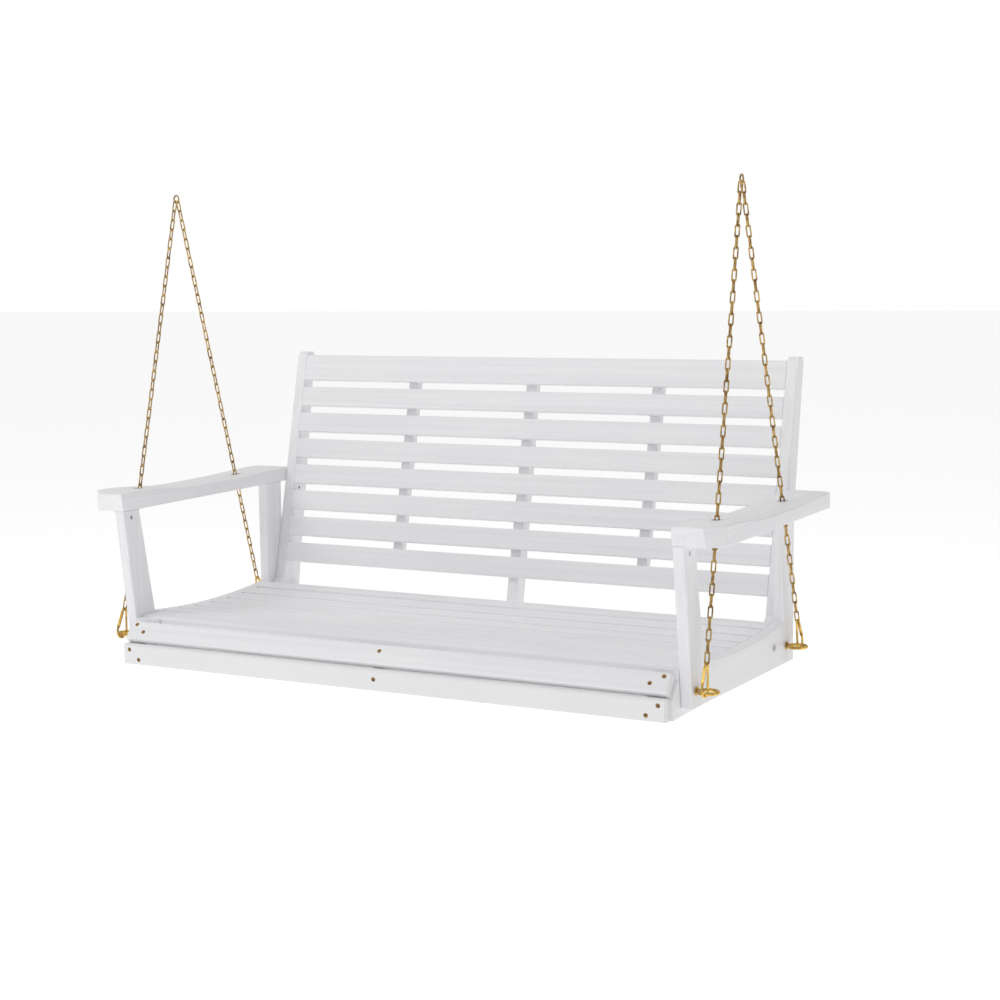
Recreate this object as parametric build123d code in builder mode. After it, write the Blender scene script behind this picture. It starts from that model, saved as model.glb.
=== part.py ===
from build123d import *
from math import atan, atan2, cos, degrees, radians, sin, sqrt
import os

# A two-seat wooden porch swing hung on four chain legs.
# Millimetres. X runs along the seat (positive to the right seen from the front), Y runs from front
# to back and Z is up. The origin is the swing axis, halfway between the two hanging rings.
# The outlines below use bench coordinates: y from the front of the arms, z from the apron's underside.

os.makedirs("parts", exist_ok=True)

# ---------------------------------------------------------------- overall sizes
overall_width = 1263.65
overall_depth = 660.4
overall_height = 552.45

# ---------------------------------------------------------------- hanging point, in bench coordinates
hang_x = 577.0
hang_y = 238.5
hang_z = 867.4

# ---------------------------------------------------------------- stations across the width
back_half_width = 527.0
post_thickness = 22.0
arm_frame_thickness = 21.0
side_rail_thickness = 44.0
centre_rail_thickness = 22.0
seat_half_width = 548.5
apron_half_width = 544.0
arm_inner_x = back_half_width + post_thickness
arm_outer_x = arm_inner_x + arm_frame_thickness
side_rail_inner_x = arm_inner_x - side_rail_thickness
arm_centre_x = (arm_inner_x + arm_outer_x) / 2

# ---------------------------------------------------------------- leaning back
lean_slope = 0.2382
lean = atan(lean_slope)
back_reference_y = 557.0
back_reference_z = 300.0
back_slat_count = 8
back_slat_top_z = 546.6
back_top_slat_width = 53.7
back_slat_width = 40.7
back_slat_gap = 14.25
slat_thickness = 15.0
post_bottom_z = 8.0
post_foot_front_y = 478.0
post_foot_front_z = 56.0
post_foot_blend_z = 86.0
post_foot_rear_y = 554.5
post_top_front_y = 617.0
post_top_front_radius = 14.0
post_top_rear_radius = 8.0
spare_hole_y = 573.0
spare_hole_z = 269.0
spare_hole_radius = 3.5
spare_hole_depth = 14.0
support_x = 269.0
support_width = 20.0
support_depth = 18.0
support_end_margin = 9.0
centre_support_width = 21.0
centre_support_top_z = 538.0
centre_support_top_depth = 17.0
centre_support_foot_depth = 38.0

# ---------------------------------------------------------------- dished seat
seat_low_z = 70.4
seat_low_y = 300.0
seat_radius = 1742.0
seat_rear_y = 482.0
seat_slat_width = 45.5
seat_slat_gap = 8.0
seat_gap_pitch = seat_slat_width + seat_slat_gap
seat_last_gap_y = 437.0
front_slat_front_y = 48.0
front_slat_rear_y = 112.0
front_slat_nose_radius = 7.0
front_slat_top_z = 80.5
rail_front_y = 5.0
rail_nose_front_y = 33.0
rail_nose_rear_y = 46.0
rail_nose_top_z = 78.0
rail_rear_y = 554.0
rail_rear_top_z = 64.0
rail_rear_radius = 12.0
centre_nose_y = 32.0
centre_dowel_heights = (22.0, 46.0)

# ---------------------------------------------------------------- apron boards
lower_apron_front_y = -14.0
lower_apron_height = 38.5
lower_apron_front_radius = 5.0
lower_apron_rear_radius = 8.0
upper_apron_thickness = 18.0
upper_apron_top = (18.0, 77.0)
upper_apron_bottom = (-8.0, 48.0)

# ---------------------------------------------------------------- arms
arm_underside_z = 284.5
armrest_rear_y = 568.0
armrest_rear_top_z = 312.5
armrest_top = [
    (0, 318),
    (70, 319),
    (150, 313.5),
    (210, 309.3),
    (290, 308.5),
    (400, 309.5),
    (485, 312.2),
    (armrest_rear_y, armrest_rear_top_z),
]
armrest_front_set_back = 4.5
armrest_corner_x = 603.0
armrest_corner_y = 32.0
armrest_corner_radius = 12.0
armrest_rear_radius = 20.0
front_post_top = (4.5, 53.0)
front_post_foot = (41.0, 106.0)
rear_post_front_y = 482.0
rear_post_rear_y = 537.0
arm_foot_z = 14.5
arm_foot_y = 40.0
arm_foot_slope = 0.022
rear_post_dowel_y = 509.0
arm_screw_y = 561.0
arm_screw_z = 290.5
arm_rail_dowels = (22.0, 58.0)

# ---------------------------------------------------------------- edges
board_edge = 2.5
slat_edge = 2.5
small_edge = 1.5

# ---------------------------------------------------------------- fasteners
clearance = 0.05
screw_radius = 2.0
screw_head_radius = 4.0
screw_head_height = 2.0
screw_length = 29.0
apron_screw_length = 34.0
driver_slot_length = 4.4
driver_slot_width = 0.9
driver_slot_depth = 1.3
apron_screw_spots = [(-532, 71, 28), (-511, 60, 10), (0, 67, 21), (511, 60, 10), (532, 71, 28)]
dowel_radius = 4.0
dowel_length = 24.0
dowel_in_slat = 10.0
bolt_radius = 3.0
bolt_y = 28.0
barrel_z = 271.6
barrel_radius = 4.0
barrel_inset = 1.0
arm_bolt_bottom_z = 262.0
arm_bolt_top_z = 303.0
side_bolt_y = 430.0
side_bolt_z = 43.0
side_bolt_head_radius = 6.0
side_bolt_head_height = 1.8
side_bolt_socket_width = 4.0
side_bolt_socket_depth = 1.4
washer_radius = 7.0
washer_thickness = 1.5
nut_flats = 10.0
nut_height = 5.0
bolt_end_proud = 2.5

# ---------------------------------------------------------------- eye bolts
eye_mean_radius = 16.5
eye_wire = 3.0
eye_x = 591.0
eye_front_y = 55.0
eye_front_z = 42.0
eye_rear_y = 497.0
eye_rear_z = 36.0
eye_flange_radius = 7.0

# ---------------------------------------------------------------- snap hooks
hook_wire = 2.0
hook_height = 56.0
hook_bottom_radius = 13.5
hook_top_radius = 5.0
hook_play = 0.3
hook_stub = 1.0
gate_width = 4.0
gate_depth = 4.4
gate_slot = 2.2
gate_gap = 0.4
tongue_thickness = 1.8
tongue_width = 3.2
tongue_length = 4.0
tongue_play = 1.0
pin_radius = 1.0
pin_fit = 0.02
pin_running_fit = 0.05

# ---------------------------------------------------------------- chain
link_wire = 1.3
link_arc_radius = 3.5
links_per_leg = 43
link_length = 21.76
hook_link_play = 0.05
ring_radius = 7.5
ring_wire = 1.5
ring_leg_angle = radians(36.0)
ring_link_offset = 3.3
chain_slot_length = 29.0
chain_slot_width = 15.0


# ================================================================ planes and curves
def side_plane(x):
    """Upright plane facing +X, with bench y as its X axis and bench z as its Y axis."""
    return Plane(origin=(x, -hang_y, -hang_z), x_dir=(0, 1, 0), z_dir=(1, 0, 0))


def level_plane(z):
    """Level plane with x and bench y as its axes."""
    return Plane(origin=(0, -hang_y, z - hang_z), x_dir=(1, 0, 0), z_dir=(0, 0, 1))


def front_plane(y):
    """Upright plane facing the front, with x and bench z as its axes."""
    return Plane(origin=(0, y - hang_y, -hang_z), x_dir=(1, 0, 0), z_dir=(0, -1, 0))


def back_face_y(z):
    """Bench y of the leaning plane through the fronts of the back slats."""
    return back_reference_y + (z - back_reference_z) * lean_slope


def back_plane(depth=0):
    """Leaning plane of the back slats' fronts, moved back by depth; its origin is at the top edge."""
    front = Plane(
        origin=(0, back_face_y(back_slat_top_z) - hang_y, back_slat_top_z - hang_z),
        x_dir=(1, 0, 0),
        z_dir=(0, -cos(lean), sin(lean)),
    )
    return front.offset(-depth)


def seat_top_z(y):
    """Height of the dished seat."""
    return seat_low_z + (y - seat_low_y) ** 2 / (2 * seat_radius)


def arm_foot(y):
    """Height of the slightly sloping underside of the arm frames."""
    return arm_foot_z - (y - arm_foot_y) * arm_foot_slope


def save(piece, name):
    """Label one finished piece and write it."""
    piece.label = name
    export_step(piece, f"parts/{name}.step")


sides = (("left", -1), ("right", 1))

# ================================================================ back slats and posts
back_slat_spans = [(0.0, back_top_slat_width)]
for number in range(1, back_slat_count):
    slat_start = back_slat_spans[-1][1] + back_slat_gap
    back_slat_spans.append((slat_start, slat_start + back_slat_width))
back_slat_centres = [(top + bottom) / 2 for top, bottom in back_slat_spans]
back_length = back_slat_spans[-1][1]
slat_depth_level = slat_thickness / cos(lean)

for number, (top, bottom) in enumerate(back_slat_spans, start=1):
    middle = -(top + bottom) / 2
    with BuildPart() as back_slat:
        with BuildSketch(back_plane()):
            with Locations((0, middle)):
                Rectangle(2 * back_half_width, bottom - top)
        extrude(amount=-slat_thickness)
        fillet(back_slat.edges().filter_by(Axis.X), slat_edge)
        with BuildSketch(back_plane(slat_thickness)):
            with Locations((0, middle), (-support_x, middle), (support_x, middle)):
                Circle(screw_radius + clearance)
        extrude(amount=screw_length - support_depth + clearance, mode=Mode.SUBTRACT)
        for side, sign in sides:
            end = Plane(
                origin=back_plane(slat_thickness / 2).from_local_coords((sign * back_half_width, middle, 0)),
                z_dir=(-sign, 0, 0),
            )
            with BuildSketch(end):
                Circle(dowel_radius + clearance)
            extrude(amount=dowel_length / 2 + clearance, mode=Mode.SUBTRACT)
    save(back_slat.part, f"back_slat_{number}")

# the rear edge leans a little less than the front, and its rounded top is the rearmost point
rear_top_guess = overall_depth + lower_apron_front_y
rear_lean = atan2(rear_top_guess - post_foot_rear_y, overall_height - post_bottom_z)
corner_loss = post_top_rear_radius * (sin(rear_lean) / cos(rear_lean) + 1 / cos(rear_lean) - 1)
post_top_rear_y = rear_top_guess + corner_loss

for side, sign in sides:
    with BuildPart() as back_post:
        with BuildSketch(side_plane(sign * back_half_width)) as outline:
            with BuildLine():
                Polyline(
                    (post_foot_front_y, post_bottom_z),
                    (post_foot_front_y, post_foot_front_z),
                    (back_face_y(post_foot_blend_z), post_foot_blend_z),
                    (post_top_front_y, overall_height),
                    (post_top_rear_y, overall_height),
                    (post_foot_rear_y, post_bottom_z),
                    close=True,
                )
            make_face()
            fillet(outline.vertices().group_by(Axis.Y)[-1].sort_by(Axis.X)[0], post_top_front_radius)
            fillet(outline.vertices().sort_by(Axis.X)[-1], post_top_rear_radius)
        extrude(amount=sign * post_thickness)
        inner_face = back_post.faces().sort_by(Axis.X)[0 if sign > 0 else -1]
        outer_face = back_post.faces().sort_by(Axis.X)[-1 if sign > 0 else 0]
        fillet(inner_face.edges() + outer_face.edges(), small_edge)
        for middle in back_slat_centres:
            end = Plane(
                origin=back_plane(slat_thickness / 2).from_local_coords((sign * back_half_width, -middle, 0)),
                z_dir=(sign, 0, 0),
            )
            with BuildSketch(end):
                Circle(dowel_radius + clearance)
            extrude(amount=dowel_length / 2 + clearance, mode=Mode.SUBTRACT)
        with BuildSketch(side_plane(sign * back_half_width)):
            with Locations((spare_hole_y, spare_hole_z)):
                Circle(spare_hole_radius)
        extrude(amount=sign * spare_hole_depth, mode=Mode.SUBTRACT)
        arm_screw_place = side_plane(sign * back_half_width) * Pos(arm_screw_y, arm_screw_z)
        with Locations(arm_screw_place * Rot(Y=90 + 90 * sign)):
            CounterSinkHole(screw_radius + clearance, screw_head_radius + clearance)
        with BuildSketch(side_plane(sign * back_half_width)):
            with Locations((eye_rear_y, eye_rear_z)):
                Circle(bolt_radius + clearance)
        extrude(amount=sign * post_thickness, mode=Mode.SUBTRACT)
    save(back_post.part, f"back_post_{side}")

# ================================================================ battens behind the back slats
for side, sign in sides:
    batten_length = back_length - 2 * support_end_margin
    with BuildPart() as batten:
        with BuildSketch(back_plane(slat_thickness)):
            with Locations((sign * support_x, -back_length / 2)):
                Rectangle(support_width, batten_length)
        extrude(amount=-support_depth)
        rear_face = batten.faces().sort_by(Axis.Y)[-1]
        fillet(rear_face.edges(), small_edge)
        for middle in back_slat_centres:
            screw_place = back_plane(slat_thickness + support_depth) * Pos(sign * support_x, -middle)
            with Locations(screw_place * Rot(Y=180)):
                CounterSinkHole(screw_radius + clearance, screw_head_radius + clearance)
    save(batten.part, f"back_support_{side}")

with BuildPart() as centre_support:
    with BuildSketch(side_plane(-centre_support_width / 2)):
        with BuildLine():
            Polyline(
                (back_face_y(centre_support_top_z) + slat_depth_level, centre_support_top_z),
                (
                    back_face_y(centre_support_top_z) + slat_depth_level + centre_support_top_depth,
                    centre_support_top_z,
                ),
                (back_face_y(post_bottom_z) + slat_depth_level + centre_support_foot_depth, post_bottom_z),
                (back_face_y(post_bottom_z) + slat_depth_level, post_bottom_z),
                close=True,
            )
        make_face()
    extrude(amount=centre_support_width)
    fillet(centre_support.faces().sort_by(Axis.Y)[-1].edges(), small_edge)
    for middle in back_slat_centres:
        head = back_plane(slat_thickness + support_depth) * Pos(0, -middle) * Rot(Y=180)
        with Locations(head):
            CounterSinkHole(screw_radius + clearance, screw_head_radius + clearance)
            Cylinder(
                screw_head_radius + clearance,
                centre_support_foot_depth,
                align=(Align.CENTER, Align.CENTER, Align.MIN),
                mode=Mode.SUBTRACT,
            )
    for z in centre_dowel_heights:
        joint = back_face_y(z) + slat_depth_level
        with BuildSketch(front_plane(joint - slat_edge)):
            with Locations((0, z)):
                Circle(dowel_radius + clearance)
        extrude(amount=-(dowel_length / 2 + clearance + slat_edge), mode=Mode.SUBTRACT)
save(centre_support.part, "back_support_centre")

# ================================================================ seat slats
# spans run from the rear slat to the front one, as (front y, rear y)
seat_spans = [(seat_last_gap_y + seat_slat_gap / 2, seat_rear_y)]
for number in range(6):
    rear_edge = seat_last_gap_y - seat_slat_gap / 2 - number * seat_gap_pitch
    seat_spans.append((rear_edge - seat_slat_width, rear_edge))
seat_spans.append((front_slat_front_y, front_slat_rear_y))


def slat_profile(front_y, rear_y):
    """Four corners of a seat slat's section: top front, top rear, bottom rear, bottom front."""
    front_z = seat_top_z(front_y)
    rear_z = seat_top_z(rear_y)
    if front_y == front_slat_front_y:
        front_z = rear_z = front_slat_top_z
    tilt = atan2(rear_z - front_z, rear_y - front_y)
    down_y = slat_thickness * sin(tilt)
    down_z = -slat_thickness * cos(tilt)
    return [
        (front_y, front_z),
        (rear_y, rear_z),
        (rear_y + down_y, rear_z + down_z),
        (front_y + down_y, front_z + down_z),
    ]


seat_rail_stations = (-(arm_inner_x + side_rail_inner_x) / 2, 0, (arm_inner_x + side_rail_inner_x) / 2)

for number, (front_y, rear_y) in enumerate(reversed(seat_spans), start=1):
    section = slat_profile(front_y, rear_y)
    dowel_y = (section[2][0] + section[3][0]) / 2
    dowel_z = (section[2][1] + section[3][1]) / 2
    with BuildPart() as seat_slat:
        with BuildSketch(side_plane(-seat_half_width)):
            with BuildLine():
                Polyline(*section, close=True)
            make_face()
        extrude(amount=2 * seat_half_width)
        long_edges = seat_slat.edges().filter_by(Axis.X)
        if number == 1:
            front_top = long_edges.sort_by(Axis.Z)[-2:].sort_by(Axis.Y)
            fillet(front_top[0], front_slat_nose_radius)
            fillet(seat_slat.edges().filter_by(Axis.X).sort_by(Axis.Y)[-2:].sort_by(Axis.Z)[-1], slat_edge)
        else:
            fillet(long_edges.sort_by(Axis.Z)[-2:], slat_edge)
        with BuildSketch(level_plane(dowel_z - slat_edge)):
            with Locations(*[(x, dowel_y) for x in seat_rail_stations]):
                Circle(dowel_radius + clearance)
        extrude(amount=dowel_in_slat + clearance + slat_edge, mode=Mode.SUBTRACT)
    save(seat_slat.part, f"seat_slat_{number}")

# ================================================================ seat rails
bed = []
for front_y, rear_y in seat_spans:
    section = slat_profile(front_y, rear_y)
    bed += [section[2], section[3]]

apron_run_y = upper_apron_top[0] - upper_apron_bottom[0]
apron_run_z = upper_apron_top[1] - upper_apron_bottom[1]
apron_face_width = sqrt(apron_run_y**2 + apron_run_z**2)
apron_up = (apron_run_y / apron_face_width, apron_run_z / apron_face_width)
apron_in = (apron_up[1], -apron_up[0])
apron_seat_y = upper_apron_bottom[0] + upper_apron_thickness * apron_in[0]
apron_seat_z = upper_apron_bottom[1] + upper_apron_thickness * apron_in[1]


def nose_slope_z(y):
    """Height of the sloping front of the rails, on which the upper apron board lies."""
    return apron_seat_z + (y - apron_seat_y) * apron_up[1] / apron_up[0]


def apron_plane(depth=0):
    """Sloping plane of the upper apron board's face, moved inwards by depth; origin at its lower edge."""
    face = Plane(
        origin=(0, upper_apron_bottom[0] - hang_y, upper_apron_bottom[1] - hang_z),
        x_dir=(1, 0, 0),
        z_dir=(0, -apron_in[0], -apron_in[1]),
    )
    return face.offset(-depth)


def apron_height_at(z):
    """Distance up the upper apron's face at bench height z."""
    return (z - upper_apron_bottom[1]) / apron_up[1]


apron_pilot_lower = apron_screw_length - (rail_front_y - lower_apron_front_y) + clearance
apron_pilot_upper = apron_screw_length - upper_apron_thickness + clearance

side_rail_outline = [
    (rail_front_y, 0),
    (rail_front_y, nose_slope_z(rail_front_y)),
    (rail_nose_front_y, nose_slope_z(rail_nose_front_y)),
    (rail_nose_front_y, rail_nose_top_z),
    (rail_nose_rear_y, rail_nose_top_z),
    (rail_nose_rear_y, bed[-1][1]),
    *reversed(bed),
]

rear_section = slat_profile(*seat_spans[0])
rear_tilt = (rear_section[2][1] - rear_section[3][1]) / (rear_section[2][0] - rear_section[3][0])
outer_rail_top_z = rear_section[2][1] - (rear_section[2][0] - post_foot_front_y) * rear_tilt

for side, sign in sides:
    with BuildPart() as seat_rail:
        # the outer half stops at the foot of the back post
        with BuildSketch(side_plane(sign * back_half_width)):
            with BuildLine():
                Polyline(
                    *side_rail_outline[:-1],
                    (post_foot_front_y, outer_rail_top_z),
                    (post_foot_front_y, 0),
                    close=True,
                )
            make_face()
        extrude(amount=sign * post_thickness)
        # the inner half runs on beside the back post
        with BuildSketch(side_plane(sign * side_rail_inner_x)) as inner_outline:
            with BuildLine():
                Polyline(
                    *side_rail_outline,
                    (rail_rear_y, rail_rear_top_z),
                    (rail_rear_y, 0),
                    close=True,
                )
            make_face()
            rear_corners = inner_outline.vertices().sort_by(Axis.X)[-2:].sort_by(Axis.Y)
            fillet(rear_corners[-1], rail_rear_radius)
        extrude(amount=sign * (back_half_width - side_rail_inner_x))
        for front_y, rear_y in seat_spans:
            section = slat_profile(front_y, rear_y)
            bed_y = (section[2][0] + section[3][0]) / 2
            bed_z = (section[2][1] + section[3][1]) / 2
            with BuildSketch(level_plane(bed_z + slat_edge)):
                with Locations((sign * seat_rail_stations[-1], bed_y)):
                    Circle(dowel_radius + clearance)
            extrude(amount=-(dowel_length - dowel_in_slat + clearance + slat_edge), mode=Mode.SUBTRACT)
        with BuildSketch(side_plane(sign * side_rail_inner_x)):
            with Locations((eye_front_y, eye_front_z), (eye_rear_y, eye_rear_z), (side_bolt_y, side_bolt_z)):
                Circle(bolt_radius + clearance)
        extrude(amount=sign * side_rail_thickness, mode=Mode.SUBTRACT)
        # pilot holes of the apron screws
        for screw_x, upper_z, lower_z in apron_screw_spots:
            if screw_x * sign > 0:
                with BuildSketch(front_plane(rail_front_y)):
                    with Locations((screw_x, lower_z)):
                        Circle(screw_radius + clearance)
                extrude(amount=-(apron_pilot_lower), mode=Mode.SUBTRACT)
                with BuildSketch(apron_plane(upper_apron_thickness)):
                    with Locations((screw_x, apron_height_at(upper_z))):
                        Circle(screw_radius + clearance)
                extrude(amount=-(apron_pilot_upper), mode=Mode.SUBTRACT)
    save(seat_rail.part, f"seat_rail_{side}")

with BuildPart() as centre_rail:
    with BuildSketch(side_plane(-centre_rail_thickness / 2)):
        with BuildLine():
            Polyline(
                (rail_front_y, 0),
                (rail_front_y, nose_slope_z(rail_front_y)),
                (centre_nose_y, bed[-1][1]),
                *reversed(bed),
                (back_face_y(bed[0][1]) + slat_depth_level, bed[0][1]),
                (back_face_y(0) + slat_depth_level, 0),
                close=True,
            )
        make_face()
    extrude(amount=centre_rail_thickness)
    for front_y, rear_y in seat_spans:
        section = slat_profile(front_y, rear_y)
        bed_y = (section[2][0] + section[3][0]) / 2
        bed_z = (section[2][1] + section[3][1]) / 2
        with BuildSketch(level_plane(bed_z + slat_edge)):
            with Locations((0, bed_y)):
                Circle(dowel_radius + clearance)
        extrude(amount=-(dowel_length - dowel_in_slat + clearance + slat_edge), mode=Mode.SUBTRACT)
    with BuildSketch(front_plane(rail_front_y)):
        with Locations((0, apron_screw_spots[2][2])):
            Circle(screw_radius + clearance)
    extrude(amount=-apron_pilot_lower, mode=Mode.SUBTRACT)
    with BuildSketch(apron_plane(upper_apron_thickness)):
        with Locations((0, apron_height_at(apron_screw_spots[2][1]))):
            Circle(screw_radius + clearance)
    extrude(amount=-apron_pilot_upper, mode=Mode.SUBTRACT)
    for z in centre_dowel_heights:
        joint = back_face_y(z) + slat_depth_level
        with BuildSketch(front_plane(joint + slat_edge)):
            with Locations((0, z)):
                Circle(dowel_radius + clearance)
        extrude(amount=dowel_length / 2 + clearance + slat_edge, mode=Mode.SUBTRACT)
save(centre_rail.part, "seat_rail_centre")

# ================================================================ apron boards
with BuildPart() as lower_apron:
    with BuildSketch(side_plane(-apron_half_width)) as lower_section:
        with BuildLine():
            Polyline(
                (lower_apron_front_y, 0),
                (rail_front_y, 0),
                (rail_front_y, lower_apron_height),
                (lower_apron_front_y, lower_apron_height),
                close=True,
            )
        make_face()
        top_corners = lower_section.vertices().group_by(Axis.Y)[-1].sort_by(Axis.X)
        fillet(top_corners[0], lower_apron_front_radius)
        fillet(lower_section.vertices().group_by(Axis.X)[-1].sort_by(Axis.Y)[-1], lower_apron_rear_radius)
    extrude(amount=2 * apron_half_width)
    fillet(lower_apron.edges().filter_by(Axis.X).group_by(Axis.Z)[0].sort_by(Axis.Y)[0], slat_edge)
    for screw_x, upper_z, lower_z in apron_screw_spots:
        with Locations(front_plane(lower_apron_front_y) * Pos(screw_x, lower_z)):
            CounterSinkHole(screw_radius + clearance, screw_head_radius + clearance)
save(lower_apron.part, "apron_board_lower")

with BuildPart() as upper_apron:
    with BuildSketch(apron_plane()):
        with Locations((0, apron_face_width / 2)):
            Rectangle(2 * apron_half_width, apron_face_width)
    extrude(amount=-upper_apron_thickness)
    fillet(upper_apron.edges().filter_by(Axis.X), slat_edge)
    for screw_x, upper_z, lower_z in apron_screw_spots:
        with Locations(apron_plane() * Pos(screw_x, apron_height_at(upper_z))):
            CounterSinkHole(screw_radius + clearance, screw_head_radius + clearance)
save(upper_apron.part, "apron_board_upper")


# ================================================================ chain legs: directions
def leg_frame(sign, eye_y, eye_z, toward_rear):
    """Bearing point of the hook under the eye's wire, and the plane (across, up the leg) of one leg."""
    eye_wire_y = eye_y + toward_rear * eye_mean_radius
    eye_wire_centre = Vector(sign * eye_x, eye_wire_y - hang_y, eye_z - hang_z)
    crossing = Vector(
        sign * hang_x,
        toward_rear * ring_radius * sin(ring_leg_angle),
        -ring_radius * cos(ring_leg_angle),
    )
    up = (crossing - eye_wire_centre).normalized()
    bearing = eye_wire_centre - up * (eye_wire + hook_wire + hook_play)
    inward = Vector(0, -toward_rear, 0)
    across = (inward - up * inward.dot(up)).normalized()
    return crossing, Plane(origin=bearing, x_dir=across, z_dir=across.cross(up))


legs = [
    (f"{end}_{side}", sign, eye_y, eye_z, toward_rear)
    for end, eye_y, eye_z, toward_rear in (
        ("front", eye_front_y, eye_front_z, -1),
        ("rear", eye_rear_y, eye_rear_z, 1),
    )
    for side, sign in sides
]


def leg_point_at(sign, eye_y, eye_z, toward_rear, z):
    """Point of a leg's centre line at bench height z, as (x, bench y)."""
    crossing, frame = leg_frame(sign, eye_y, eye_z, toward_rear)
    share = (z - hang_z - frame.origin.Z) / (crossing.Z - frame.origin.Z)
    point = frame.origin + (crossing - frame.origin) * share
    return point.X, point.Y + hang_y


# ================================================================ arms
armrest_outer_x = overall_width / 2
armrest_width = armrest_outer_x - arm_inner_x
armrest_mid_z = (arm_underside_z + armrest_rear_top_z) / 2


def post_rear_y(z):
    """Rear edge of the front arm post."""
    share = (arm_underside_z - z) / (arm_underside_z - arm_foot(front_post_foot[1]))
    return front_post_top[1] + share * (front_post_foot[1] - front_post_top[1])


# the side rail meets the front post where its dished top edge crosses the post's rear edge
rail_joint_z = seat_top_z(post_rear_y(seat_low_z))
rail_joint_z = seat_top_z(post_rear_y(rail_joint_z))
rail_joint_y = post_rear_y(rail_joint_z)

with BuildPart() as armrest_left:
    with BuildSketch(side_plane(-arm_inner_x)):
        with BuildLine():
            wave = Spline(*armrest_top)
            Line(wave @ 1, (armrest_rear_y, arm_underside_z))
            Line((armrest_rear_y, arm_underside_z), (armrest_front_set_back, arm_underside_z))
            Line((armrest_front_set_back, arm_underside_z), wave @ 0)
        make_face()
    extrude(amount=-armrest_width)
    with BuildSketch(level_plane(arm_underside_z)) as plan:
        with BuildLine():
            Polyline(
                (-arm_inner_x, 0),
                (-armrest_corner_x, 0),
                (-armrest_outer_x, armrest_corner_y),
                (-armrest_outer_x, armrest_rear_y),
                (-arm_inner_x, armrest_rear_y),
                close=True,
            )
        make_face()
        outer_corners = plan.vertices().sort_by(Axis.X)[:3].sort_by(Axis.Y)
        fillet(outer_corners[-1], armrest_rear_radius)
        fillet(outer_corners[:-1], armrest_corner_radius)
    extrude(amount=2 * (armrest_rear_top_z - arm_underside_z), mode=Mode.INTERSECT)
    fillet(armrest_left.faces().sort_by(Axis.Z)[-1].edges(), board_edge)
    fillet(armrest_left.faces().sort_by(Axis.Z)[0].edges(), small_edge)
    # the chain legs pass down through slots
    for name, sign, eye_y, eye_z, toward_rear in legs:
        if sign < 0:
            with BuildSketch(level_plane(arm_underside_z - board_edge)):
                with Locations(leg_point_at(sign, eye_y, eye_z, toward_rear, armrest_mid_z)):
                    SlotOverall(chain_slot_length, chain_slot_width, rotation=90)
            extrude(amount=2 * (armrest_rear_top_z - arm_underside_z), mode=Mode.SUBTRACT)
    with BuildSketch(level_plane(arm_underside_z)):
        with Locations((-arm_centre_x, bolt_y)):
            Circle(bolt_radius + clearance)
    extrude(amount=arm_bolt_top_z - arm_underside_z + clearance, mode=Mode.SUBTRACT)
    with BuildSketch(level_plane(arm_underside_z)):
        with Locations((-arm_centre_x, rear_post_dowel_y)):
            Circle(dowel_radius + clearance)
    extrude(amount=dowel_length / 2 + clearance, mode=Mode.SUBTRACT)
    with BuildSketch(side_plane(-arm_inner_x)):
        with Locations((arm_screw_y, arm_screw_z)):
            Circle(screw_radius + clearance)
    extrude(amount=-(screw_length - post_thickness + clearance), mode=Mode.SUBTRACT)
save(armrest_left.part, "armrest_left")

with BuildPart() as armrest_right:
    mirror(armrest_left.part, about=Plane.YZ)
save(armrest_right.part, "armrest_right")

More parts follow.
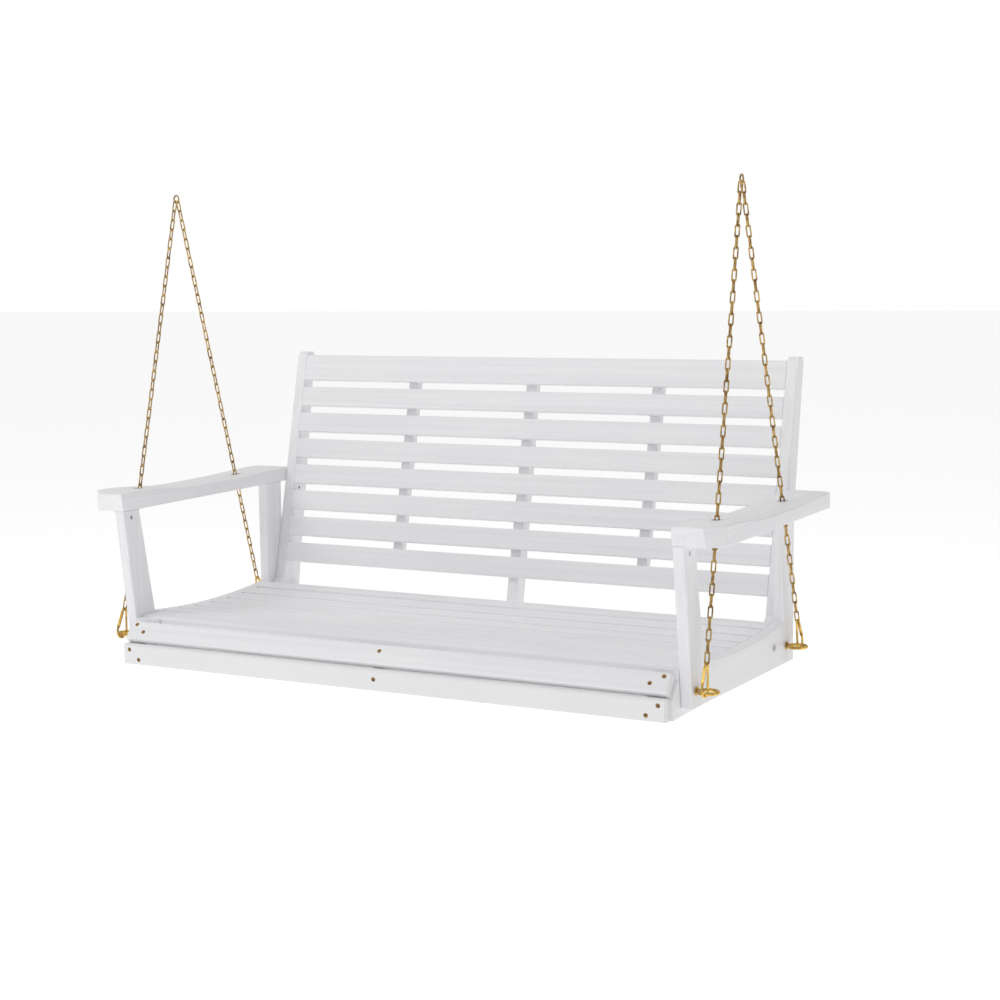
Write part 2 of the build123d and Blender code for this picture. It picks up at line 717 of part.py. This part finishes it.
for side, sign in sides:
    with BuildPart() as front_post:
        with BuildSketch(side_plane(sign * arm_inner_x)):
            with BuildLine():
                Polyline(
                    (front_post_top[0], arm_underside_z),
                    (front_post_foot[0], arm_foot(front_post_foot[0])),
                    (front_post_foot[1], arm_foot(front_post_foot[1])),
                    (front_post_top[1], arm_underside_z),
                    close=True,
                )
            make_face()
        extrude(amount=sign * arm_frame_thickness)
        fillet(front_post.edges().filter_by(lambda e: abs(e.tangent_at(0.5).Z) > 0.5), slat_edge)
        with BuildSketch(side_plane(sign * arm_inner_x)):
            with Locations((bolt_y, barrel_z)):
                Circle(barrel_radius + clearance)
            with Locations((eye_front_y, eye_front_z)):
                Circle(bolt_radius + clearance)
        extrude(amount=sign * arm_frame_thickness, mode=Mode.SUBTRACT)
        with BuildSketch(level_plane(arm_underside_z)):
            with Locations((sign * arm_centre_x, bolt_y)):
                Circle(bolt_radius + clearance)
        extrude(amount=-(arm_underside_z - arm_bolt_bottom_z + clearance), mode=Mode.SUBTRACT)
        for z in arm_rail_dowels:
            with BuildSketch(front_plane(post_rear_y(z) + slat_edge)):
                with Locations((sign * arm_centre_x, z)):
                    Circle(dowel_radius + clearance)
            extrude(amount=dowel_length / 2 + clearance + slat_edge, mode=Mode.SUBTRACT)
    save(front_post.part, f"arm_front_post_{side}")

    with BuildPart() as rear_post:
        with BuildSketch(side_plane(sign * arm_inner_x)):
            with BuildLine():
                Polyline(
                    (rear_post_front_y, arm_underside_z),
                    (rear_post_front_y, arm_foot(rear_post_front_y)),
                    (rear_post_rear_y, arm_foot(rear_post_rear_y)),
                    (rear_post_rear_y, arm_underside_z),
                    close=True,
                )
            make_face()
        extrude(amount=sign * arm_frame_thickness)
        fillet(rear_post.edges().filter_by(Axis.Z), slat_edge)
        with BuildSketch(side_plane(sign * arm_inner_x)):
            with Locations((eye_rear_y, eye_rear_z)):
                Circle(bolt_radius + clearance)
        extrude(amount=sign * arm_frame_thickness, mode=Mode.SUBTRACT)
        with BuildSketch(level_plane(arm_underside_z)):
            with Locations((sign * arm_centre_x, rear_post_dowel_y)):
                Circle(dowel_radius + clearance)
        extrude(amount=-(dowel_length / 2 + clearance), mode=Mode.SUBTRACT)
        for z in arm_rail_dowels:
            with BuildSketch(front_plane(rear_post_front_y)):
                with Locations((sign * arm_centre_x, z)):
                    Circle(dowel_radius + clearance)
            extrude(amount=-(dowel_length / 2 + clearance), mode=Mode.SUBTRACT)
    save(rear_post.part, f"arm_rear_post_{side}")

    with BuildPart() as arm_rail:
        with BuildSketch(side_plane(sign * arm_inner_x)):
            with BuildLine():
                ThreePointArc(
                    (rail_joint_y, rail_joint_z),
                    (seat_low_y, seat_low_z),
                    (rear_post_front_y, seat_top_z(rear_post_front_y)),
                )
                Polyline(
                    (rear_post_front_y, seat_top_z(rear_post_front_y)),
                    (rear_post_front_y, arm_foot(rear_post_front_y)),
                    (front_post_foot[1], arm_foot(front_post_foot[1])),
                    (rail_joint_y, rail_joint_z),
                )
            make_face()
        extrude(amount=sign * arm_frame_thickness)
        with BuildSketch(side_plane(sign * arm_inner_x)):
            with Locations((side_bolt_y, side_bolt_z)):
                Circle(bolt_radius + clearance)
        extrude(amount=sign * arm_frame_thickness, mode=Mode.SUBTRACT)
        for z in arm_rail_dowels:
            with BuildSketch(front_plane(post_rear_y(z) - slat_edge)):
                with Locations((sign * arm_centre_x, z)):
                    Circle(dowel_radius + clearance)
            extrude(amount=-(dowel_length / 2 + clearance + slat_edge), mode=Mode.SUBTRACT)
            with BuildSketch(front_plane(rear_post_front_y)):
                with Locations((sign * arm_centre_x, z)):
                    Circle(dowel_radius + clearance)
            extrude(amount=dowel_length / 2 + clearance, mode=Mode.SUBTRACT)
    save(arm_rail.part, f"arm_side_rail_{side}")

# ================================================================ screws
with BuildPart() as apron_screws:
    apron_heads = []
    for screw_x, upper_z, lower_z in apron_screw_spots:
        apron_heads.append(front_plane(lower_apron_front_y) * Pos(screw_x, lower_z))
        apron_heads.append(apron_plane() * Pos(screw_x, apron_height_at(upper_z)))
    with Locations(*apron_heads):
        Cylinder(screw_radius, apron_screw_length, align=(Align.CENTER, Align.CENTER, Align.MAX))
        Cone(
            screw_radius,
            screw_head_radius,
            screw_head_height,
            align=(Align.CENTER, Align.CENTER, Align.MAX),
        )
        Box(
            driver_slot_length,
            driver_slot_width,
            driver_slot_depth,
            align=(Align.CENTER, Align.CENTER, Align.MAX),
            mode=Mode.SUBTRACT,
        )
        Box(
            driver_slot_width,
            driver_slot_length,
            driver_slot_depth,
            align=(Align.CENTER, Align.CENTER, Align.MAX),
            mode=Mode.SUBTRACT,
        )
save(apron_screws.part, "apron_screws")

with BuildPart() as back_screws:
    back_heads = []
    for middle in back_slat_centres:
        for x in (-support_x, 0, support_x):
            back_heads.append(back_plane(slat_thickness + support_depth) * Pos(x, -middle) * Rot(Y=180))
    for side, sign in sides:
        back_heads.append(
            side_plane(sign * back_half_width) * Pos(arm_screw_y, arm_screw_z) * Rot(Y=90 + 90 * sign)
        )
    with Locations(*back_heads):
        Cylinder(screw_radius, screw_length, align=(Align.CENTER, Align.CENTER, Align.MAX))
        Cone(
            screw_radius,
            screw_head_radius,
            screw_head_height,
            align=(Align.CENTER, Align.CENTER, Align.MAX),
        )
save(back_screws.part, "back_screws")

# ================================================================ dowels
dowel_places = []
for side, sign in sides:
    for middle in back_slat_centres:
        end = back_plane(slat_thickness / 2).from_local_coords((sign * back_half_width, -middle, 0))
        dowel_places.append(Plane(origin=end, z_dir=(1, 0, 0)))
    dowel_places.append(level_plane(arm_underside_z) * Pos(sign * arm_centre_x, rear_post_dowel_y))
    for z in arm_rail_dowels:
        dowel_places.append(front_plane(post_rear_y(z)) * Pos(sign * arm_centre_x, z))
        dowel_places.append(front_plane(rear_post_front_y) * Pos(sign * arm_centre_x, z))
for z in centre_dowel_heights:
    dowel_places.append(front_plane(back_face_y(z) + slat_depth_level) * Pos(0, z))
seat_dowel_drop = dowel_length / 2 - dowel_in_slat
for front_y, rear_y in seat_spans:
    section = slat_profile(front_y, rear_y)
    bed_y = (section[2][0] + section[3][0]) / 2
    bed_z = (section[2][1] + section[3][1]) / 2
    for x in seat_rail_stations:
        dowel_places.append(level_plane(bed_z - seat_dowel_drop) * Pos(x, bed_y))

with BuildPart() as dowels:
    with Locations(*dowel_places):
        Cylinder(dowel_radius, dowel_length)
save(dowels.part, "dowels")

# ================================================================ bolts, barrel nuts, nuts and washers
with BuildPart() as arm_bolts:
    for side, sign in sides:
        with BuildSketch(level_plane(arm_bolt_bottom_z)):
            with Locations((sign * arm_centre_x, bolt_y)):
                Circle(bolt_radius)
        extrude(amount=arm_bolt_top_z - arm_bolt_bottom_z)
save(arm_bolts.part, "arm_bolts")

with BuildPart() as barrel_nuts:
    for side, sign in sides:
        with BuildSketch(side_plane(sign * (arm_inner_x + barrel_inset))):
            with Locations((bolt_y, barrel_z)):
                Circle(barrel_radius)
        extrude(amount=sign * (arm_frame_thickness - 2 * barrel_inset))
        with BuildSketch(level_plane(arm_bolt_bottom_z)):
            with Locations((sign * arm_centre_x, bolt_y)):
                Circle(bolt_radius + clearance)
        extrude(amount=arm_bolt_top_z - arm_bolt_bottom_z, mode=Mode.SUBTRACT)
save(barrel_nuts.part, "barrel_nuts")

shank_inner_x = side_rail_inner_x - washer_thickness - nut_height - bolt_end_proud
with BuildPart() as side_bolts:
    for side, sign in sides:
        with BuildSketch(side_plane(sign * shank_inner_x)):
            with Locations((side_bolt_y, side_bolt_z)):
                Circle(bolt_radius)
        extrude(amount=sign * (arm_outer_x - shank_inner_x))
        with BuildSketch(side_plane(sign * arm_outer_x)):
            with Locations((side_bolt_y, side_bolt_z)):
                Circle(side_bolt_head_radius)
        extrude(amount=sign * side_bolt_head_height)
        with BuildSketch(side_plane(sign * (arm_outer_x + side_bolt_head_height))):
            with Locations((side_bolt_y, side_bolt_z)):
                RegularPolygon(side_bolt_socket_width / 2, 6, major_radius=False)
        extrude(amount=-sign * side_bolt_socket_depth, mode=Mode.SUBTRACT)
save(side_bolts.part, "side_bolts")

bolt_spots = ((eye_front_y, eye_front_z), (eye_rear_y, eye_rear_z), (side_bolt_y, side_bolt_z))
with BuildPart() as washers:
    for side, sign in sides:
        with BuildSketch(side_plane(sign * side_rail_inner_x)):
            with Locations(*bolt_spots):
                Circle(washer_radius)
                Circle(bolt_radius + clearance, mode=Mode.SUBTRACT)
        extrude(amount=-sign * washer_thickness)
save(washers.part, "washers")

with BuildPart() as hex_nuts:
    for side, sign in sides:
        with BuildSketch(side_plane(sign * (side_rail_inner_x - washer_thickness))):
            with Locations(*bolt_spots):
                RegularPolygon(nut_flats / 2, 6, major_radius=False)
                Circle(bolt_radius + clearance, mode=Mode.SUBTRACT)
        extrude(amount=-sign * nut_height)
save(hex_nuts.part, "hex_nuts")

# ================================================================ eye bolts
for name, sign, eye_y, eye_z, toward_rear in legs:
    with BuildPart() as eye_bolt:
        with BuildSketch(side_plane(sign * eye_x)):
            with Locations((eye_y + eye_mean_radius, eye_z)):
                Circle(eye_wire)
        revolve(axis=Axis((sign * eye_x, eye_y - hang_y, eye_z - hang_z), (0, 0, 1)))
        with BuildSketch(side_plane(sign * shank_inner_x)):
            with Locations((eye_y, eye_z)):
                Circle(bolt_radius)
        extrude(amount=sign * (eye_x - eye_mean_radius - shank_inner_x))
        with BuildSketch(side_plane(sign * arm_outer_x)):
            with Locations((eye_y, eye_z)):
                Circle(eye_flange_radius)
        extrude(amount=sign * (eye_x - eye_mean_radius - eye_wire / 2 - arm_outer_x))
    save(eye_bolt.part, f"eye_bolt_{name}")

# ================================================================ snap hooks and their gates
hook_radius_change = hook_bottom_radius - hook_top_radius
hook_centre_gap = hook_height - hook_bottom_radius - hook_top_radius
hook_side_angle = atan2(hook_radius_change, sqrt(hook_centre_gap**2 - hook_radius_change**2))
hook_low_x = hook_bottom_radius * cos(hook_side_angle)
hook_low_y = hook_bottom_radius + hook_bottom_radius * sin(hook_side_angle)
hook_high_x = hook_top_radius * cos(hook_side_angle)
hook_high_y = hook_height - hook_top_radius + hook_top_radius * sin(hook_side_angle)
hook_leg_length = sqrt((hook_low_x - hook_high_x) ** 2 + (hook_high_y - hook_low_y) ** 2)
hook_leg_up = ((hook_low_x - hook_high_x) / hook_leg_length, (hook_high_y - hook_low_y) / hook_leg_length)
pin_up_leg = hook_leg_length - hook_stub - gate_gap - gate_width / 2
gate_low_up_leg = hook_stub + gate_gap + gate_width / 2


def on_gate_leg(distance):
    """Point on the gate's side of the hook, at a distance up the straight leg."""
    return (-hook_low_x + distance * hook_leg_up[0], hook_low_y + distance * hook_leg_up[1])


gate_angle = 90 - degrees(atan2(hook_leg_up[0], hook_leg_up[1]))
tongue_overlap = 1.0
upper_tongue_length = hook_leg_length - hook_stub + tongue_overlap - pin_up_leg
lower_tongue_place = Location(
    (*on_gate_leg(hook_stub - tongue_overlap + tongue_length / 2), 0),
    (0, 0, gate_angle),
)
upper_tongue_place = Location(
    (*on_gate_leg(pin_up_leg + upper_tongue_length / 2), 0),
    (0, 0, gate_angle),
)

for name, sign, eye_y, eye_z, toward_rear in legs:
    crossing, frame = leg_frame(sign, eye_y, eye_z, toward_rear)
    wire_start = on_gate_leg(hook_stub)
    wire_end = on_gate_leg(hook_leg_length - hook_stub)
    with BuildPart() as hook:
        with BuildLine(frame) as hook_line:
            Line(wire_start, (-hook_low_x, hook_low_y))
            ThreePointArc((-hook_low_x, hook_low_y), (0, 0), (hook_low_x, hook_low_y))
            Line((hook_low_x, hook_low_y), (hook_high_x, hook_high_y))
            ThreePointArc((hook_high_x, hook_high_y), (0, hook_height), (-hook_high_x, hook_high_y))
            Line((-hook_high_x, hook_high_y), wire_end)
        with BuildSketch(Plane(origin=hook_line.line @ 0, z_dir=hook_line.line % 0)):
            Circle(hook_wire)
        sweep()
        # flat tongues inside the gate's slotted ends
        with BuildSketch(frame.offset(-tongue_thickness / 2)):
            with Locations(lower_tongue_place):
                Rectangle(tongue_length + 2 * tongue_overlap, tongue_width)
            with Locations(upper_tongue_place):
                Rectangle(upper_tongue_length, tongue_width)
            with Locations(on_gate_leg(pin_up_leg)):
                Circle(tongue_width / 2)
        extrude(amount=tongue_thickness)
        with BuildSketch(frame.offset(-gate_depth)):
            with Locations(on_gate_leg(pin_up_leg)):
                Circle(pin_radius + pin_fit)
        extrude(amount=2 * gate_depth, mode=Mode.SUBTRACT)
    save(hook.part, f"snap_hook_{name}")

    with BuildPart() as gate:
        with BuildSketch(frame.offset(-gate_depth / 2)):
            with Locations(
                Location((*on_gate_leg((pin_up_leg + gate_low_up_leg) / 2), 0), (0, 0, gate_angle))
            ):
                SlotCenterToCenter(pin_up_leg - gate_low_up_leg, gate_width)
        extrude(amount=gate_depth)
        slot_low_top = hook_stub + tongue_length + tongue_play
        slot_high_bottom = pin_up_leg - tongue_width / 2 - tongue_play
        with BuildSketch(frame.offset(-gate_slot / 2)):
            with Locations(Location((*on_gate_leg(slot_low_top / 2), 0), (0, 0, gate_angle))):
                Rectangle(slot_low_top, 2 * gate_width)
            with Locations(
                Location((*on_gate_leg((slot_high_bottom + hook_leg_length) / 2), 0), (0, 0, gate_angle))
            ):
                Rectangle(hook_leg_length - slot_high_bottom, 2 * gate_width)
        extrude(amount=gate_slot, mode=Mode.SUBTRACT)
        with BuildSketch(frame.offset(-gate_depth)):
            with Locations(on_gate_leg(pin_up_leg)):
                Circle(pin_radius + pin_running_fit)
        extrude(amount=2 * gate_depth, mode=Mode.SUBTRACT)
    save(gate.part, f"gate_{name}")

with BuildPart() as gate_pins:
    for name, sign, eye_y, eye_z, toward_rear in legs:
        crossing, frame = leg_frame(sign, eye_y, eye_z, toward_rear)
        with BuildSketch(frame.offset(-gate_depth / 2)):
            with Locations(on_gate_leg(pin_up_leg)):
                Circle(pin_radius)
        extrude(amount=gate_depth)
save(gate_pins.part, "gate_pins")

# ================================================================ chain
link_half = link_length / 2 - link_arc_radius
with BuildPart() as link:
    for end in (-1, 1):
        with BuildSketch(Plane.XZ.offset(-end * link_half)):
            with Locations((link_arc_radius, 0)):
                Circle(link_wire)
        revolve(axis=Axis((0, end * link_half, 0), (0, 0, 1)), revolution_arc=end * 180)
    with BuildSketch(Plane.XZ.offset(-link_half)):
        with Locations((-link_arc_radius, 0), (link_arc_radius, 0)):
            Circle(link_wire)
    extrude(amount=2 * link_half)

for name, sign, eye_y, eye_z, toward_rear in legs:
    crossing, frame = leg_frame(sign, eye_y, eye_z, toward_rear)
    first_wire = hook_height - hook_wire - link_wire - hook_link_play
    last_wire = (crossing - frame.origin).length + ring_link_offset
    pitch = (last_wire - first_wire - link_length) / (links_per_leg - 1)
    places = []
    for number in range(links_per_leg):
        centre = frame.from_local_coords((0, first_wire + link_length / 2 + number * pitch, 0))
        across = frame.z_dir if number % 2 == 0 else frame.x_dir
        places.append(Plane(origin=centre, x_dir=across, z_dir=across.cross(frame.y_dir)))
    with BuildPart() as chain:
        with Locations(*places):
            add(link.part)
    save(chain.part, f"chain_{name}")

# ================================================================ rings that hang from the ceiling hooks
with BuildPart() as hanging_rings:
    for side, sign in sides:
        with BuildSketch(Plane(origin=(sign * hang_x, 0, 0), x_dir=(1, 0, 0), z_dir=(0, -1, 0))):
            with Locations((0, ring_radius)):
                Circle(ring_wire)
        revolve(axis=Axis((sign * hang_x, 0, 0), (1, 0, 0)))
save(hanging_rings.part, "hanging_rings")
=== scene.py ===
import math

import bpy
from mathutils import Matrix, Vector


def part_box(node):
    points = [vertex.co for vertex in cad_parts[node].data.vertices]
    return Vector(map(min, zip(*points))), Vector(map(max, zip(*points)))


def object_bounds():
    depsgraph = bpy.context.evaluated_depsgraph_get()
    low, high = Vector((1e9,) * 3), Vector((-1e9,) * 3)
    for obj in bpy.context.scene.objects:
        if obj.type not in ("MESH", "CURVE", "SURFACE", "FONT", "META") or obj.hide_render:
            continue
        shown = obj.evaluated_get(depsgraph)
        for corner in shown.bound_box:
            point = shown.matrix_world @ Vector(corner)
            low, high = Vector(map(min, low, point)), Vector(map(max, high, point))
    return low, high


# ---------------------------------------------------------------- camera, in metres and degrees
CAMERA_PLACE = Vector((1.7211, -3.1042, -0.1157))
CAMERA_YAW = 30.07
CAMERA_PITCH = 7.08
CAMERA_ROLL = -1.02
CAMERA_LENS = 70.27
CAMERA_SHIFT = (0.0953, -0.0021)
SENSOR = 36.0

# ---------------------------------------------------------------- stage
FLOOR_DROP = 0.33
FLOOR_SIZE = 60.0
FLOOR_COLOUR = (0.95, 0.95, 0.95, 1)
FLOOR_GLOW = 0.43
WORLD_COLOUR = (1.0, 1.0, 1.0, 1)
WORLD_STRENGTH = 0.56
BACKDROP_STRENGTH = 1.0
KEY_OFFSET = Vector((-1.8, -2.4, 2.6))
KEY_SIZE = 2.2
KEY_POWER = 38
TOP_OFFSET = Vector((0.3, 0.5, 2.8))
TOP_SIZE = 2.4
TOP_POWER = 14

# ---------------------------------------------------------------- finishes
PAINT = (0.88, 0.882, 0.893, 1)
PAINT_SHADE = (0.825, 0.826, 0.84, 1)
# Darker, slightly warmer copy of the white paint for the lower apron board: painted shade under
# the upper apron's overhang
PAINT_LOWER_APRON_PAINTED_SHADE = (0.84, 0.835, 0.83, 1)
BARE_WOOD = (0.50, 0.33, 0.18, 1)
BARE_WOOD_SHADE = (0.36, 0.22, 0.11, 1)
CLOUD_SHADE = (0.965, 0.965, 0.975, 1)
CLOUD_CLEAR = (1, 1, 1, 1)
GRAIN_STRETCH = (1.2, 90)
PORE_STRETCH = (4, 420)
CLOUD_SCALE = 3.0
PAINT_ROUGHNESS = (0.42, 0.60)
EDGE_RADIUS = 0.0012
GRAIN_SHIFT = 3.7
GOLD = (0.86, 0.60, 0.16, 1)
GOLD_DARK = (0.42, 0.25, 0.06, 1)
CHAIN_GOLD = (0.66, 0.45, 0.17, 1)
CHAIN_DARK = (0.26, 0.15, 0.05, 1)
SCREW = (0.45, 0.29, 0.13, 1)
SCREW_DARK = (0.14, 0.08, 0.04, 1)
ZINC = (0.62, 0.62, 0.64, 1)
ZINC_DARK = (0.34, 0.34, 0.36, 1)


def node(tree, kind, **values):
    """Adds a shader node and sets its attributes."""
    made = tree.nodes.new(kind)
    for key, value in values.items():
        setattr(made, key, value)
    return made


def new_material(name):
    """A material with only its Principled shader and output."""
    material = bpy.data.materials.new(name)
    material.use_nodes = True
    tree = material.node_tree
    return material, tree, tree.nodes["Principled BSDF"]


def mapping(tree, scale, offset=(0, 0, 0)):
    """Object coordinates stretched by scale."""
    coordinates = node(tree, "ShaderNodeTexCoord")
    stretch = node(tree, "ShaderNodeMapping")
    stretch.inputs["Scale"].default_value = scale
    stretch.inputs["Location"].default_value = offset
    tree.links.new(coordinates.outputs["Object"], stretch.inputs["Vector"])
    return stretch.outputs["Vector"]


def noise(tree, vector, scale, detail=4.0, distortion=0.0):
    """Fractal noise over a coordinate."""
    made = node(tree, "ShaderNodeTexNoise")
    made.inputs["Scale"].default_value = scale
    made.inputs["Detail"].default_value = detail
    made.inputs["Distortion"].default_value = distortion
    tree.links.new(vector, made.inputs["Vector"])
    return made.outputs["Fac"]


def ramp(tree, value, low, high, low_colour, high_colour):
    """Two-colour ramp between low and high."""
    made = node(tree, "ShaderNodeValToRGB")
    made.color_ramp.elements[0].position = low
    made.color_ramp.elements[0].color = low_colour
    made.color_ramp.elements[1].position = high
    made.color_ramp.elements[1].color = high_colour
    tree.links.new(value, made.inputs["Fac"])
    return made.outputs["Color"]


def spread(tree, value, low, high):
    """Maps 0 to 1 on to low to high."""
    made = node(tree, "ShaderNodeMapRange")
    made.inputs["To Min"].default_value = low
    made.inputs["To Max"].default_value = high
    tree.links.new(value, made.inputs["Value"])
    return made.outputs["Result"]


def bump(tree, height, strength, distance, normal=None):
    """Bump from a height, laid over another normal."""
    made = node(tree, "ShaderNodeBump")
    made.inputs["Strength"].default_value = strength
    made.inputs["Distance"].default_value = distance
    tree.links.new(height, made.inputs["Height"])
    if normal is not None:
        tree.links.new(normal, made.inputs["Normal"])
    return made.outputs["Normal"]


def stretched(axis, along, across_grain):
    """Texture scale that is low along one axis, so the marks run that way."""
    return tuple(along if letter == axis else across_grain for letter in "XYZ")


def painted_wood(name, grain_along, seed, base, shade):
    """Satin white paint over hardwood: faint grain, fine pores and softened edges."""
    material, tree, shader = new_material(name)
    shift = (seed, seed, seed)
    along = stretched(grain_along, *GRAIN_STRETCH)
    fine = stretched(grain_along, *PORE_STRETCH)
    grain = noise(tree, mapping(tree, along, shift), 1.0, detail=6.0, distortion=0.6)
    pores = noise(tree, mapping(tree, fine, shift), 1.0, detail=3.0)
    cloud = noise(tree, mapping(tree, (1, 1, 1), shift), CLOUD_SCALE, detail=2.0)
    grain_colour = ramp(tree, grain, low=0.30, high=0.62, low_colour=shade, high_colour=base)
    cloud_colour = ramp(tree, cloud, 0.35, 0.65, CLOUD_SHADE, CLOUD_CLEAR)
    mixed = node(tree, "ShaderNodeMix", data_type="RGBA", blend_type="MULTIPLY")
    mixed.inputs["Factor"].default_value = 1.0
    tree.links.new(grain_colour, mixed.inputs["A"])
    tree.links.new(cloud_colour, mixed.inputs["B"])
    tree.links.new(mixed.outputs["Result"], shader.inputs["Base Color"])
    tree.links.new(spread(tree, pores, *PAINT_ROUGHNESS), shader.inputs["Roughness"])
    edge = node(tree, "ShaderNodeBevel", samples=4)
    edge.inputs["Radius"].default_value = EDGE_RADIUS
    lines = bump(tree, grain, 0.16, 0.0006, edge.outputs["Normal"])
    tree.links.new(bump(tree, pores, 0.10, 0.0002, lines), shader.inputs["Normal"])
    shader.inputs["Specular IOR Level"].default_value = 0.45
    return material


def metal(name, bright, dark, rough_low, rough_high, scale):
    """Plated metal: tarnish gathered in patches, with fine scratches in the gloss."""
    material, tree, shader = new_material(name)
    patches = noise(tree, mapping(tree, (1, 1, 1)), scale, 5.0, 0.4)
    scratches = noise(tree, mapping(tree, (1, 1, 8)), scale * 9, 3.0)
    tree.links.new(ramp(tree, patches, 0.36, 0.60, dark, bright), shader.inputs["Base Color"])
    tree.links.new(spread(tree, scratches, rough_low, rough_high), shader.inputs["Roughness"])
    tree.links.new(bump(tree, scratches, 0.12, 0.0001), shader.inputs["Normal"])
    shader.inputs["Metallic"].default_value = 1.0
    return material


def set_material(name, material):
    """Gives one CAD node its finish."""
    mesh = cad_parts[name].data
    mesh.materials.clear()
    mesh.materials.append(material)


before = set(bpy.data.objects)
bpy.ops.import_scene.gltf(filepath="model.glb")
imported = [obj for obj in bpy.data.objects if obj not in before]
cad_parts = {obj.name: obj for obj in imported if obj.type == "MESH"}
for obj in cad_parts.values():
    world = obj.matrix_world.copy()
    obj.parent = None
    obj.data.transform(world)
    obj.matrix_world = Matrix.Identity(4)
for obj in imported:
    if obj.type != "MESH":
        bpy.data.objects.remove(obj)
cad_low, cad_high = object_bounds()

# ---------------------------------------------------------------- finishes of every node
across = [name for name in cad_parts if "slat" in name or "apron_board" in name]
upright_kinds = ("back_post", "back_support", "arm_front", "arm_rear")
deep_kinds = ("armrest", "arm_side", "seat_rail")
upright = [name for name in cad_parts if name.startswith(upright_kinds)]
deep = [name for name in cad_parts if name.startswith(deep_kinds)]
for group, axis in ((across, "X"), (upright, "Z"), (deep, "Y")):
    for number, name in enumerate(sorted(group)):
        # The lower apron board gets the darker paint copy, a painted shade; every other piece gets
        # the plain white paint
        base = PAINT_LOWER_APRON_PAINTED_SHADE if name == "apron_board_lower" else PAINT
        paint = painted_wood(f"paint_{name}", axis, GRAIN_SHIFT * number, base, PAINT_SHADE)
        set_material(name, paint)

gold = metal("gold", GOLD, GOLD_DARK, rough_low=0.16, rough_high=0.32, scale=60)
chain_gold = metal("chain_gold", CHAIN_GOLD, CHAIN_DARK, rough_low=0.26, rough_high=0.44, scale=90)
screw_brass = metal("screw_brass", SCREW, SCREW_DARK, rough_low=0.35, rough_high=0.6, scale=300)
zinc = metal("zinc", ZINC, ZINC_DARK, rough_low=0.3, rough_high=0.5, scale=80)
bare = painted_wood("bare_wood", "Z", 1.0, BARE_WOOD, BARE_WOOD_SHADE)
finishes = (
    (("eye_bolt", "snap_hook", "gate"), gold),
    (("chain", "hanging_rings"), chain_gold),
    (("apron_screws", "back_screws"), screw_brass),
    (("arm_bolts", "barrel_nuts", "side_bolts", "hex_nuts", "washers"), zinc),
    (("dowels",), bare),
)
for prefixes, material in finishes:
    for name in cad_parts:
        if name.startswith(prefixes):
            set_material(name, material)

# ---------------------------------------------------------------- stage
floor_mesh = bpy.data.meshes.new("floor")
half = FLOOR_SIZE / 2
floor_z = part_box("apron_board_lower")[0][2] - FLOOR_DROP
corners = ((-half, -half), (half, -half), (half, half), (-half, half))
floor_mesh.from_pydata([(x, y, floor_z) for x, y in corners], [], [(0, 1, 2, 3)])
floor = bpy.data.objects.new("floor", floor_mesh)
bpy.context.scene.collection.objects.link(floor)
floor_material, _, floor_shader = new_material("floor")
floor_shader.inputs["Base Color"].default_value = FLOOR_COLOUR
floor_shader.inputs["Roughness"].default_value = 0.9
floor_shader.inputs["Emission Color"].default_value = FLOOR_COLOUR
floor_shader.inputs["Emission Strength"].default_value = FLOOR_GLOW
floor_mesh.materials.append(floor_material)

world = bpy.data.worlds.new("studio")
world.use_nodes = True
sky = world.node_tree
backdrop = sky.nodes["Background"]
backdrop.inputs["Color"].default_value = WORLD_COLOUR
seen = node(sky, "ShaderNodeLightPath")
strength = spread(sky, seen.outputs["Is Camera Ray"], WORLD_STRENGTH, BACKDROP_STRENGTH)
sky.links.new(strength, backdrop.inputs["Strength"])
bpy.context.scene.world = world


def area_light(name, place, target, size, power):
    """A square soft light at place, aimed at target."""
    data = bpy.data.lights.new(name, "AREA")
    data.size = size
    data.energy = power
    light = bpy.data.objects.new(name, data)
    light.location = place
    light.rotation_euler = (Vector(target) - Vector(place)).to_track_quat("-Z", "Y").to_euler()
    bpy.context.scene.collection.objects.link(light)


centre = (Vector(cad_low) + Vector(cad_high)) / 2
area_light("key", centre + KEY_OFFSET, centre, KEY_SIZE, KEY_POWER)
area_light("top", centre + TOP_OFFSET, centre, TOP_SIZE, TOP_POWER)

# ---------------------------------------------------------------- camera
yaw, pitch, roll = (math.radians(a) for a in (CAMERA_YAW, CAMERA_PITCH, CAMERA_ROLL))
level = Vector((math.cos(yaw), math.sin(yaw), 0))
ahead = Vector((-math.sin(yaw), math.cos(yaw), 0))
forward = ahead * math.cos(pitch) - Vector((0, 0, math.sin(pitch)))
lift = level.cross(forward)
right = level * math.cos(roll) + lift * math.sin(roll)
up = lift * math.cos(roll) - level * math.sin(roll)
camera_data = bpy.data.cameras.new("camera")
camera_data.sensor_width = SENSOR
camera_data.lens = CAMERA_LENS
camera_data.shift_x, camera_data.shift_y = CAMERA_SHIFT
camera = bpy.data.objects.new("camera", camera_data)
axes = Matrix((right, up, -forward)).transposed().to_4x4()
camera.matrix_world = Matrix.Translation(CAMERA_PLACE) @ axes
bpy.context.scene.collection.objects.link(camera)
bpy.context.scene.camera = camera
bpy.context.scene.view_settings.view_transform = "Standard"
